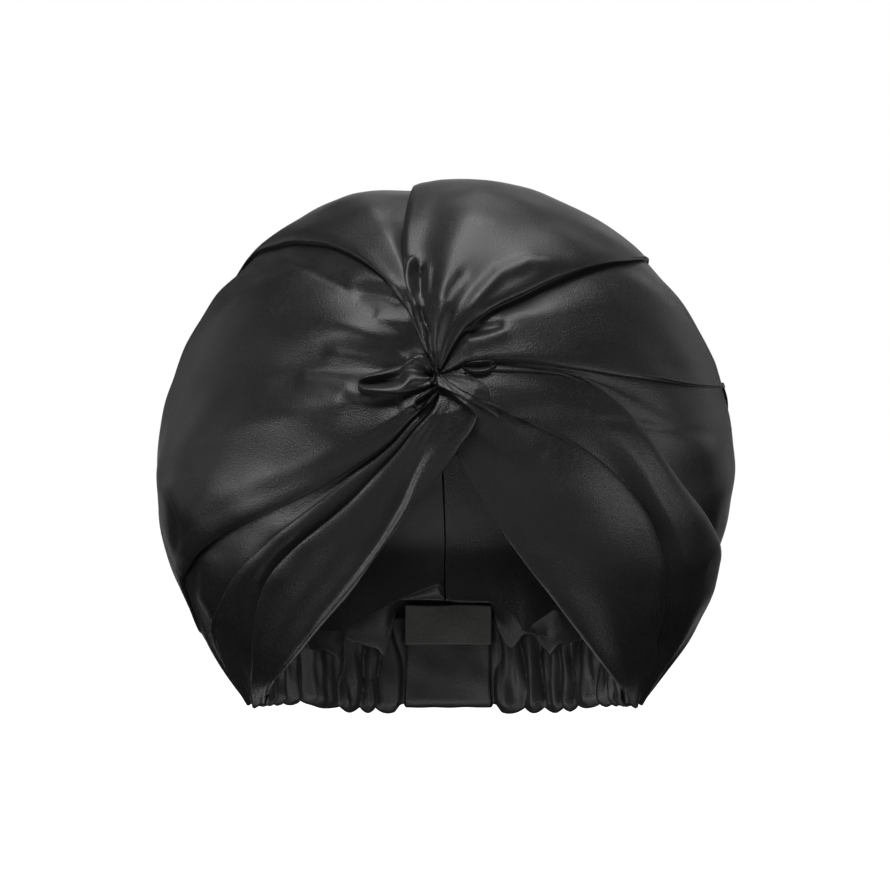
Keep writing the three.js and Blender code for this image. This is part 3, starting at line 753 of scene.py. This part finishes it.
# %% Leaf outlines: top edge, foot edge, top rim, foot rim and middle
CRUMPLE = [
    ((357, 382), (357, 386), 1, 1, 1),
    ((361, 376.5), (360, 389.5), 4, 4.4, 1.2),
    ((370, 373), (367, 392), 5.2, 5.4, -0.4),
    ((386, 368.5), (382, 394.5), 5.6, 5.6, -0.6),
    ((400, 363.5), (396, 395.5), 6, 5.2, 2.4),
    ((408, 357), (406, 395), 6.6, 4.4, 6.4),
    ((415, 352.5), (415, 393), 7, 3.4, 7.6),
    ((423, 353), (424, 390), 6.4, 2.8, 7),
    ((430, 360), (431, 387), 4.4, 2, 4.4),
    ((434, 372), (436, 382), 1, 1, 1),
]
SHORT_FOLD = [
    ((414, 402), (414, 404.5), 1.5, 1.5, 1),
    ((416, 398), (418, 409), 5, 5.2, 2),
    ((424, 392), (425, 407), 6, 5.8, 1.4),
    ((432, 387.5), (433, 399), 5.4, 5, 1.6),
    ((440, 385), (441, 389), 2, 2, 1),
]
LONG_PLEAT = [
    ((423, 366), (424, 379), 0.5, 2.5, 1.5),
    ((435, 370), (435, 384), 1.4, 4, 3.2),
    ((447, 369), (447, 390), 1.2, 4.4, 3.8),
    ((458, 371), (459, 396.5), 0.8, 4.2, 3.4),
    ((472, 375.5), (473, 403.5), 0.2, 3.6, 2.2),
    ((488, 377), (485, 410), -0.5, 2.2, 0.4),
    ((504, 376), (498, 420), -1.2, 0.4, -1),
    ((522, 378), (514, 433), -1.8, -1.4, -1.6),
]
SMALL_LOOP = [
    ((460, 364.5), (460, 365.5), 0.5, 0.5, 0),
    ((466, 361.5), (467, 370), 2, 2.4, -0.6),
    ((475, 359.5), (476, 373), 2.6, 3.2, -1),
    ((485, 358.8), (486, 372), 2.6, 3, -1),
    ((493, 359.3), (494, 367.5), 2.2, 2.2, -0.6),
    ((498, 361.5), (498, 362.5), 0.5, 0.5, 0),
]
SOFT_RIM = 0.7
CRISP_RIM = 0.92
CAUGHT_FOLDS = [
    (CRUMPLE, SOFT_RIM),
    (SHORT_FOLD, SOFT_RIM),
    (LONG_PLEAT, CRISP_RIM),
    (SMALL_LOOP, SOFT_RIM),
]
print(len(CAUGHT_FOLDS), "folds caught in the knot")

# %% Finding the cloth under a leaf
FACING_PASSES = 8
AIM_PASSES = 3
LEAST_DEPTH = 0.01
LOWEST_LIFT = -5.0


def facing(place):
    direction = np.broadcast_to(KNOT, place.shape[:-1] + (3,))
    for _ in range(FACING_PASSES):
        sizes = ball_sizes(direction)
        nearer = (CAMERA_BACK_MM + direction[..., 1] * sizes[..., 1]) / CAMERA_BACK_MM * MM_PER_PIXEL
        right = (place[..., 0] - PICTURE_HALF) * nearer / sizes[..., 0]
        rise = CAMERA_HEIGHT_MM - CROWN_MID_Z + (PICTURE_HALF - place[..., 1]) * nearer
        up = rise / sizes[..., 2]
        near = -np.sqrt(np.maximum(1 - right**2 - up**2, LEAST_DEPTH))
        direction = unit(np.stack([right, near, up], axis=-1))
    return direction


def top_lift(turn, distance):
    highest = np.full(len(turn), LOWEST_LIFT)
    for folds, column in ((LEFT_FOLDS, LEFT_COLUMNS), (RIGHT_FOLDS, RIGHT_COLUMNS)):
        turns, lifts = spread(folds, column, distance)
        for k in range(len(turn)):
            for whole in (turn[k] - 360, turn[k], turn[k] + 360):
                if turns[k, -1] <= whole <= turns[k, 0]:
                    lift = np.interp(-whole, -turns[k], lifts[k])
                    lift = lift - edge_pull(whole, distance[k], distance[k])
                    highest[k] = max(highest[k], lift)
    return highest


def on_cloth(place, rise):
    aim = place.copy()
    for _ in range(AIM_PASSES):
        direction = facing(aim)
        distance = np.arccos(np.clip(direction @ KNOT, -1, 1)) / RAD
        turn = np.arctan2(direction @ KNOT_UP, direction @ KNOT_SIDE) / RAD
        lift = top_lift(turn, distance) - KNOT_DIMPLE * bell(distance, DIMPLE_REACH) + rise
        lift = lift + unevenness(direction, distance)
        point = on_ball(direction, np.ones_like(turn), lift)
        aim = aim + place - picture_place(point)
    return point


loop_start = np.array([SMALL_LOOP[0][0]], float)
print("the small loop starts at", np.round(on_cloth(loop_start, np.zeros(1))[0], 1), "mm")

# %% Caught folds
LEAF_STEPS = 72
LEAF_WIDTHS = 41
LEAF_SUNK = 2.0
LEAF_WALL = 1.2
LEAF_END_SHARE = 0.1


def leaf_line(values):
    return curve_through(np.array(values, float), LEAF_STEPS)[:, None]


def caught_fold(leaf, rim_at):
    top, foot, top_rim, foot_rim, middle = (leaf_line(values) for values in zip(*leaf))
    s = np.linspace(0, 1, LEAF_STEPS)[:, None]
    w = np.linspace(-1, 1, LEAF_WIDTHS)[None, :]
    place = foot + (top - foot) * (w[..., None] + 1) / 2
    rim = np.where(w > 0, top_rim, foot_rim)
    inner = middle + (rim - middle) * smooth(np.abs(w) / rim_at)
    over = np.clip((np.abs(w) - rim_at) / (1 - rim_at), 0, 1)
    outer = rim - (rim + LEAF_SUNK) * (1 - np.sqrt(1 - over**2))
    rise = np.where(np.abs(w) < rim_at, inner, outer)
    ends = np.sqrt(smooth(s / LEAF_END_SHARE) * smooth((1 - s) / LEAF_END_SHARE))
    rise = (rise + LEAF_SUNK) * ends - LEAF_SUNK
    points = on_cloth(place.reshape(-1, 2), rise.reshape(-1)).reshape(LEAF_STEPS, LEAF_WIDTHS, 3)
    return closed_sheet(points, points - KNOT * LEAF_WALL)


knot_points, knot_faces, points_so_far = [], [], 0
for leaf, rim_at in CAUGHT_FOLDS:
    points, faces = caught_fold(leaf, rim_at)
    knot_points.append(points)
    knot_faces.append(faces + points_so_far)
    points_so_far += len(points)
twist_knot = make_piece("twist_knot_folds", np.concatenate(knot_points), np.concatenate(knot_faces))

# %% [markdown]
# ## The elastic band
# The band is a casing of the same cloth over elastic, so it stands in upright puffs with sharp creases
# between them, and its lower edge is scalloped. A plain sine wave would look like a corrugated pipe. Here
# each puff is the round part of a wave and each crease the narrow part, and the creases stand unevenly,
# where a hand-fed gather left them. The band lies flat, and ends higher, inside the sleeve at the middle.

# %% Gathers
GATHERS = np.array([
    -112, -105, -98, -91, -84, -76, -68, -56, -37.5, -29.5, -24, -15,
    17, 27.5, 35, 43.5, 49, 62.5, 71, 79, 86, 94, 104, 112,
], float)
BAND_FOOT = [
    (-112, 3.2), (-90, 0.5), (-62, -1.4), (-50, -2.7), (-37, -6.6), (-17, -8.1), (-13.4, -4.4),
    (15.8, -4.4), (19.4, -8.1), (43, -6.4), (56, -3.1), (75, -0.8), (90, 0.5), (112, 3.2),
]


def puff_at(angle, sharpness):
    i = np.clip(np.searchsorted(GATHERS, angle, side="right") - 1, 0, len(GATHERS) - 2)
    f = (angle - GATHERS[i]) / (GATHERS[i + 1] - GATHERS[i])
    return 1 - np.abs(2 * f - 1) ** sharpness


def ripple(level, angle, per_height, per_degree):
    return np.sin(level * per_height + angle * per_degree)


print("band:", len(GATHERS) - 1, "puffs, from", np.diff(GATHERS).min(), "degrees wide")

# %% Gathered band
LABEL_MID_TURN = 1.2
SLEEVE_HALF_TURN = 14.4
SLEEVE_FADE = 3
BAND_RADIUS = 79.5
BAND_WALL = 2.2
BAND_END_TURN = 112
BAND_FLARE = 2.5
FLARE_FROM = 80
FLARE_OVER = 25
BAND_BELOW_TOP = 3.5
PUFF_IN = 3.4
PUFF_OUT = 1.6
PUFF_SHARPNESS = 2.6
PUFF_LOST_UP = 0.4
SCALLOP = 2.6
SCALLOP_SHARPNESS = 2.0
LONG_SWAY = 2.2
LONG_SWAY_WAVES = (4, 0.13)
SHORT_SWAY = 1.2
SHORT_SWAY_WAVES = (8, 0.31)
SWAY_AT_FOOT = 0.3
WRINKLE = 0.7
RISING_WRINKLES = (7, 0.9)
FALLING_WRINKLES = (-5, 0.37)
SWING = 0.5
SWING_WAVES = (1.5, 0.55)
PINCHED = 0.25
PINCH_FOOT = 0.08
PINCH_TOP = 0.18
BAND_COLUMNS = 560
BAND_LEVELS = 36


def band_grids():
    angle = np.linspace(BAND_END_TURN, -BAND_END_TURN, BAND_COLUMNS)[None, :]
    level = np.linspace(0, 1, BAND_LEVELS)[:, None]
    free = smooth((np.abs(angle - LABEL_MID_TURN) - SLEEVE_HALF_TURN) / SLEEVE_FADE)
    sway = LONG_SWAY * ripple(level, angle, *LONG_SWAY_WAVES)
    sway = sway + SHORT_SWAY * ripple(level, angle, *SHORT_SWAY_WAVES)
    sway = sway * (SWAY_AT_FOOT + (1 - SWAY_AT_FOOT) * level)
    puff = puff_at(angle + sway, PUFF_SHARPNESS)
    wrinkle = ripple(level, angle, *RISING_WRINKLES) * ripple(level, angle, *FALLING_WRINKLES)
    swing = SWING * ripple(level, angle, *SWING_WAVES) * free
    pinch = smooth(level / PINCH_FOOT) * smooth((1 - level) / PINCH_TOP)
    pinch = PINCHED + (1 - PINCHED) * pinch
    foot = edge_height(BAND_FOOT, angle) + SCALLOP * (0.5 - puff_at(angle, SCALLOP_SHARPNESS)) * free
    height = foot + (BAND_TOP_Z - BAND_BELOW_TOP - foot) * level
    radius = BAND_RADIUS + BAND_FLARE * smooth((np.abs(angle) - FLARE_FROM) / FLARE_OVER) + swing
    puffed_out = PUFF_OUT * puff * pinch * free
    puffed_in = (PUFF_IN + WRINKLE * wrinkle) * puff * pinch * free * (1 - PUFF_LOST_UP * level)
    outer = radius + BAND_WALL / 2 + puffed_out
    inner = radius - BAND_WALL / 2 - puffed_in
    return nape_point(angle, outer, height), nape_point(angle, inner, height)


band = make_piece("elastic_band_cloth", *closed_sheet(*band_grids()))

# %% [markdown]
# ## The sleeve
# At the middle of the nape a flat sleeve of cloth wraps under the band, taller inside than outside, and
# draws in a little at its waist. A bent box would have stiff walls, so a line is bent round the band's
# foot instead and swept along the band, and its face puckers slightly.

# %% Sleeve round the band
PIECE_GAP = 0.35
SLEEVE_WALL = 1.6
SLEEVE_TOP_Z = 40
SLEEVE_BACK_Z = 22
SLEEVE_FOOT_Z = -5.6
SLEEVE_WAIST = 0.035
PUCKER = 0.2
PUCKER_LENGTH = 17
FOOT_BENDS = 12
SLEEVE_COLUMNS = 72
SLEEVE_ROWS = 64


def sleeve_line():
    inner = BAND_RADIUS - BAND_WALL / 2 - PIECE_GAP
    outer = BAND_RADIUS + BAND_WALL / 2 + PIECE_GAP
    mid, half = (inner + outer) / 2, (outer - inner) / 2
    bend_z = SLEEVE_FOOT_Z + half
    bends = np.linspace(0, math.pi, FOOT_BENDS)[1:-1]
    radii = [inner, inner, *(mid - half * np.cos(bends)), outer, outer]
    heights = [SLEEVE_TOP_Z, bend_z, *(bend_z - half * np.sin(bends)), bend_z, SLEEVE_BACK_Z]
    line = np.stack([radii, heights], axis=-1)
    length = np.concatenate([[0], np.cumsum(np.linalg.norm(np.diff(line, axis=0), axis=-1))])
    s = np.linspace(0, length[-1], SLEEVE_ROWS)
    return np.interp(s, length, line[:, 0]), np.interp(s, length, line[:, 1])


def sleeve_grids():
    radii, heights = sleeve_line()
    outward = unit(np.stack([np.gradient(heights), -np.gradient(radii)], axis=-1))
    radius, height = radii[:, None], heights[:, None]
    f = np.linspace(1, -1, SLEEVE_COLUMNS)[None, :]
    down = np.clip((SLEEVE_TOP_Z - height) / (SLEEVE_TOP_Z - SLEEVE_FOOT_Z), 0, 1)
    angle = LABEL_MID_TURN + SLEEVE_HALF_TURN * f * (1 - SLEEVE_WAIST * np.sin(down * math.pi))
    back = nape_point(angle, radius, height)
    wall = SLEEVE_WALL + PUCKER * waves(back, PUCKER_LENGTH, WAVE_SEED + 2)
    face = nape_point(angle, radius + outward[:, :1] * wall, height + outward[:, 1:] * wall)
    return face, back


band_sleeve = make_piece("band_tab_cloth", *closed_sheet(*sleeve_grids()))

# %% [markdown]
# ## The label
# A woven tape label, left blank, is sewn across the top of the sleeve, with a line of stitches along each
# end. It could be a bump in the sleeve's finish, but from the side it would vanish. So it is a thin tape
# of its own, a little bowed, and each stitch presses a small dent into it.

# %% Blank label
LABEL_HALF_TURN = 15
LABEL_HEIGHT = 17.5
LABEL_WALL = 0.7
LABEL_CLEAR = 0.75
LABEL_BOW = 0.5
BOW_WAVES = 3
LABEL_TILT = 0.35
TILT_WAVES = 4
TILT_LEVEL = 0.2
STITCH_LINE = 0.95
STITCH_WIDTH = 0.012
STITCH_DEPTH = 0.25
STITCH_RATE = 60
STITCH_EVEN = 0.6
LABEL_COLUMNS = 90
LABEL_ROWS = 40


def label_grids():
    off = BAND_RADIUS - BAND_WALL / 2 - SLEEVE_WALL - 2 * PIECE_GAP - LABEL_CLEAR
    f = np.linspace(1, -1, LABEL_COLUMNS)[None, :]
    level = np.linspace(0, 1, LABEL_ROWS)[:, None]
    back = off - LABEL_BOW * np.sin(f * BOW_WAVES + 1) * np.sin(level * BOW_WAVES)
    stitches = STITCH_EVEN + (1 - STITCH_EVEN) * np.cos(level * STITCH_RATE)
    stitched = bell(np.abs(f) - STITCH_LINE, STITCH_WIDTH) * stitches
    face = back - LABEL_WALL + STITCH_DEPTH * stitched
    tilt = LABEL_TILT * np.sin(f * TILT_WAVES) * (level - TILT_LEVEL)
    height = SLEEVE_TOP_Z - LABEL_HEIGHT + LABEL_HEIGHT * level + tilt
    angle = LABEL_MID_TURN + LABEL_HALF_TURN * f
    return nape_point(angle, face, height), nape_point(angle, back, height)


label_face, label_back = label_grids()
label = make_piece("label_tape", *closed_sheet(label_back, label_face))

# %% [markdown]
# ## Satin
# Black satin is dark because it is smooth: almost all its light is reflection. Long floats of thread make
# that reflection broad and a little grainy. A photograph of cloth could be wrapped on, but it would bring
# its own light with it. So the colour is nearly black with a faint cloudiness and flecks, the roughness
# varies a little with them, a fine bump breaks the highlight up, and a touch of sheen lifts the edges.
# All of it comes from noise in the piece's own coordinates, in metres, so it needs no unwrapping and no
# image.

# %% Cloth shader
THREAD = 0.0006
FLECK = 2.2 * THREAD
CLOUD = 0.03
FLECK_SHARE = 0.55
NOISE_LOW = 0.3
NOISE_HIGH = 0.7
ROUGH_VARIES = 0.04
BUMP_DEPTH = 0.45 * THREAD
GLOSS = 0.25
SHEEN_ROUGH = 0.35
SHEEN_TINT = (0.86, 0.9, 0.9, 1)


def cloth_noise(tree, size, detail):
    place = tree.nodes.new("ShaderNodeTexCoord")
    noise = tree.nodes.new("ShaderNodeTexNoise")
    noise.inputs["Scale"].default_value = 1 / size
    noise.inputs["Detail"].default_value = detail
    tree.links.new(place.outputs["Object"], noise.inputs["Vector"])
    return noise.outputs["Fac"]


def colour_from(tree, mottle, dark, light):
    ramp = tree.nodes.new("ShaderNodeValToRGB")
    low, high = ramp.color_ramp.elements
    low.position = NOISE_LOW
    low.color = (*dark, 1)
    high.position = NOISE_HIGH
    high.color = (*light, 1)
    tree.links.new(mottle, ramp.inputs["Fac"])
    return ramp.outputs["Color"]


def roughness_from(tree, mottle, rough):
    shine = tree.nodes.new("ShaderNodeMapRange")
    shine.inputs["From Min"].default_value = NOISE_LOW
    shine.inputs["From Max"].default_value = NOISE_HIGH
    shine.inputs["To Min"].default_value = rough - ROUGH_VARIES
    shine.inputs["To Max"].default_value = rough + ROUGH_VARIES
    tree.links.new(mottle, shine.inputs["Value"])
    return shine.outputs["Result"]


def cloth_material(name, dark, light, rough, sheen, grain):
    material = bpy.data.materials.new(name)
    material.use_nodes = True
    tree = material.node_tree
    shader = tree.nodes["Principled BSDF"]
    mottle = tree.nodes.new("ShaderNodeMix")
    mottle.data_type = "FLOAT"
    mottle.inputs["Factor"].default_value = FLECK_SHARE
    tree.links.new(cloth_noise(tree, CLOUD, 4), mottle.inputs["A"])
    tree.links.new(cloth_noise(tree, FLECK, 3), mottle.inputs["B"])
    cloudy = mottle.outputs["Result"]
    tree.links.new(colour_from(tree, cloudy, dark, light), shader.inputs["Base Color"])
    tree.links.new(roughness_from(tree, cloudy, rough), shader.inputs["Roughness"])
    bump = tree.nodes.new("ShaderNodeBump")
    bump.inputs["Strength"].default_value = grain
    bump.inputs["Distance"].default_value = BUMP_DEPTH
    tree.links.new(cloth_noise(tree, THREAD, 2), bump.inputs["Height"])
    tree.links.new(bump.outputs["Normal"], shader.inputs["Normal"])
    shader.inputs["Specular IOR Level"].default_value = GLOSS
    shader.inputs["Sheen Weight"].default_value = sheen
    shader.inputs["Sheen Roughness"].default_value = SHEEN_ROUGH
    shader.inputs["Sheen Tint"].default_value = SHEEN_TINT
    return material


print("threads of", THREAD / MM, "mm and clouds of", CLOUD / MM, "mm")

# %% Black satin, band and label
satin = cloth_material(
    "black_satin",
    dark=(0.004, 0.004, 0.0043), light=(0.009, 0.009, 0.0093),
    rough=0.39, sheen=0.02, grain=0.7,
)
band_cloth = cloth_material(
    "band_satin",
    dark=(0.0045, 0.0042, 0.0042), light=(0.009, 0.0085, 0.0085),
    rough=0.46, sheen=0.02, grain=0.7,
)
label_weave = cloth_material(
    "label_weave",
    dark=(0.014, 0.0136, 0.0128), light=(0.03, 0.029, 0.0275),
    rough=0.6, sheen=0.06, grain=0.6,
)
print("materials:", satin.name, band_cloth.name, label_weave.name)

# %% [markdown]
# ## What stands for what
# Every piece rides on the one body, takes the place of its solid and gets its material. Each crown half
# is cut from a shaped panel, the band from a strip a little longer than it ends up, the sleeve from a
# small piece of cloth and the label from tape. Each mesh has two layers, so half its area is printed as
# its area of cloth.

# %% Ride and replace
DRESS = [
    (crown_left, "crown_left", "satin", satin),
    (crown_right, "crown_right", "satin", satin),
    (twist_knot, "twist_knot", "satin", satin),
    (band, "elastic_band", "band_cloth", band_cloth),
    (band_sleeve, "band_tab", "band_cloth", band_cloth),
    (label, "label", "label_weave", label_weave),
]
for piece, node, slot, material in DRESS:
    piece.data.materials.append(material)
    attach(piece, "root")
    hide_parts(node)
    one_layer = sum(face.area for face in piece.data.polygons) / 2
    print(piece.name, "stands for", node, "with", round(one_layer, 4), "square metres of cloth")

# %% [markdown]
# ## Studio
# The bonnet is shown level and straight on, on pure white. Black satin in a white room would turn grey,
# so the floor and the surroundings are white to the camera but kept out of the cloth's reflections. What
# shines in the cloth are soft panels only: a large one above and in front, others at the sides and below,
# and some behind that draw a pale line round the outline. The floor is well below, because the bonnet
# keeps the form it has when worn.

# %% Camera
SENSOR_MM = 36.0
camera_data = bpy.data.cameras.new("front_camera")
camera_data.sensor_width = SENSOR_MM
camera_data.lens = SENSOR_MM * CAMERA_BACK_MM / (2 * PICTURE_HALF * MM_PER_PIXEL)
camera = bpy.data.objects.new("front_camera", camera_data)
camera.location = (0, -CAMERA_BACK_MM * MM, CAMERA_HEIGHT_MM * MM)
camera.rotation_euler = (math.pi / 2, 0, 0)
bpy.context.scene.collection.objects.link(camera)
bpy.context.scene.camera = camera
print("lens:", round(camera_data.lens, 1), "mm")

# %% White floor
FLOOR_Z = -0.15
FLOOR_HALF = 40.0
PAPER_WHITE = (0.93, 0.93, 0.93, 1)
PAPER_ROUGH = 0.9
PAPER_GLOSS = 0.1
PAPER_GLOW = 1.05
WHITE = (1, 1, 1, 1)
floor_mesh = bpy.data.meshes.new("studio_floor")
corners = [(-1, -1), (1, -1), (1, 1), (-1, 1)]
floor_mesh.from_pydata([(x * FLOOR_HALF, y * FLOOR_HALF, FLOOR_Z) for x, y in corners], [], [(0, 1, 2, 3)])
floor = bpy.data.objects.new("studio_floor", floor_mesh)
bpy.context.scene.collection.objects.link(floor)
paper = bpy.data.materials.new("white_paper")
paper.use_nodes = True
paper_shader = paper.node_tree.nodes["Principled BSDF"]
paper_shader.inputs["Base Color"].default_value = PAPER_WHITE
paper_shader.inputs["Roughness"].default_value = PAPER_ROUGH
paper_shader.inputs["Specular IOR Level"].default_value = PAPER_GLOSS
paper_shader.inputs["Emission Color"].default_value = WHITE
paper_shader.inputs["Emission Strength"].default_value = PAPER_GLOW
floor_mesh.materials.append(paper)
floor.visible_glossy = False
floor.visible_diffuse = False
print("floor", -FLOOR_Z, "m below the opening")

# %% White surroundings
world = bpy.data.worlds.new("studio")
bpy.context.scene.world = world
world.use_nodes = True
backdrop = world.node_tree.nodes["Background"]
backdrop.inputs["Color"].default_value = WHITE
backdrop.inputs["Strength"].default_value = 1.0
world.cycles_visibility.glossy = False
world.cycles_visibility.diffuse = False
bpy.context.scene.view_settings.view_transform = "Standard"
print("white surroundings, kept out of the cloth's reflections")

# %% Soft lights: name, place, target, size in metres, power in watts, seen in the cloth
LIGHTS = [
    ("key_light", (-0.15, -0.8, 1.4), (0, 0, 0.13), (0.7, 0.5), 26, True),
    ("top_light", (0.2, 0.15, 1.7), (0, 0, 0.13), (0.9, 0.6), 19, True),
    ("lens_fill", (0, -2.0, 0.03), (0, 0, 0.06), (0.5, 0.4), 10, False),
    ("left_panel", (-1.7, -0.3, 0.3), (0, 0, 0.06), (1.6, 1.4), 3.5, True),
    ("right_panel", (1.7, -0.3, 0.3), (0, 0, 0.06), (1.6, 1.4), 2.5, True),
    ("low_panel", (0, -0.8, -0.13), (0, -0.79, 0.1), (2.4, 1.3), 6, True),
    ("low_left", (-1.0, -0.6, -0.1), (0, 0, 0.03), (0.8, 0.5), 12, True),
    ("low_right", (1.0, -0.6, -0.1), (0, 0, 0.03), (0.8, 0.5), 5, True),
    ("nape_bounce", (0, -0.03, -0.09), (0, 0.06, 0.06), (0.14, 0.1), 0.15, True),
    ("inside_light", (0, 0.01, 0.17), (0, 0.08, 0.07), (0.05, 0.05), 0.032, True),
    ("back_left", (-1.6, 1.2, 0.7), (0, 0, 0.1), (1.2, 1.4), 3, True),
    ("back_right", (1.6, 1.2, 0.7), (0, 0, 0.1), (1.2, 1.4), 4, True),
    ("back_top", (0.2, 1.6, 0.9), (0, 0, 0.1), (1.2, 0.8), 2.5, True),
    ("back_low", (0, 1.5, -0.08), (0, 0, 0.06), (1.4, 0.5), 1.8, True),
]


def soft_light(name, place, target, size, power, shines):
    data = bpy.data.lights.new(name, "AREA")
    data.shape = "RECTANGLE"
    data.size, data.size_y = size
    data.energy = power
    light = bpy.data.objects.new(name, data)
    light.location = place
    light.visible_glossy = shines
    way = np.array(target, float) - np.array(place, float)
    yaw = math.atan2(-way[0], way[1])
    pitch = math.atan2(math.hypot(way[0], way[1]), -way[2])
    light.rotation_euler = (pitch, 0, yaw)
    bpy.context.scene.collection.objects.link(light)


for row in LIGHTS:
    soft_light(*row)
print(len(LIGHTS), "soft lights")
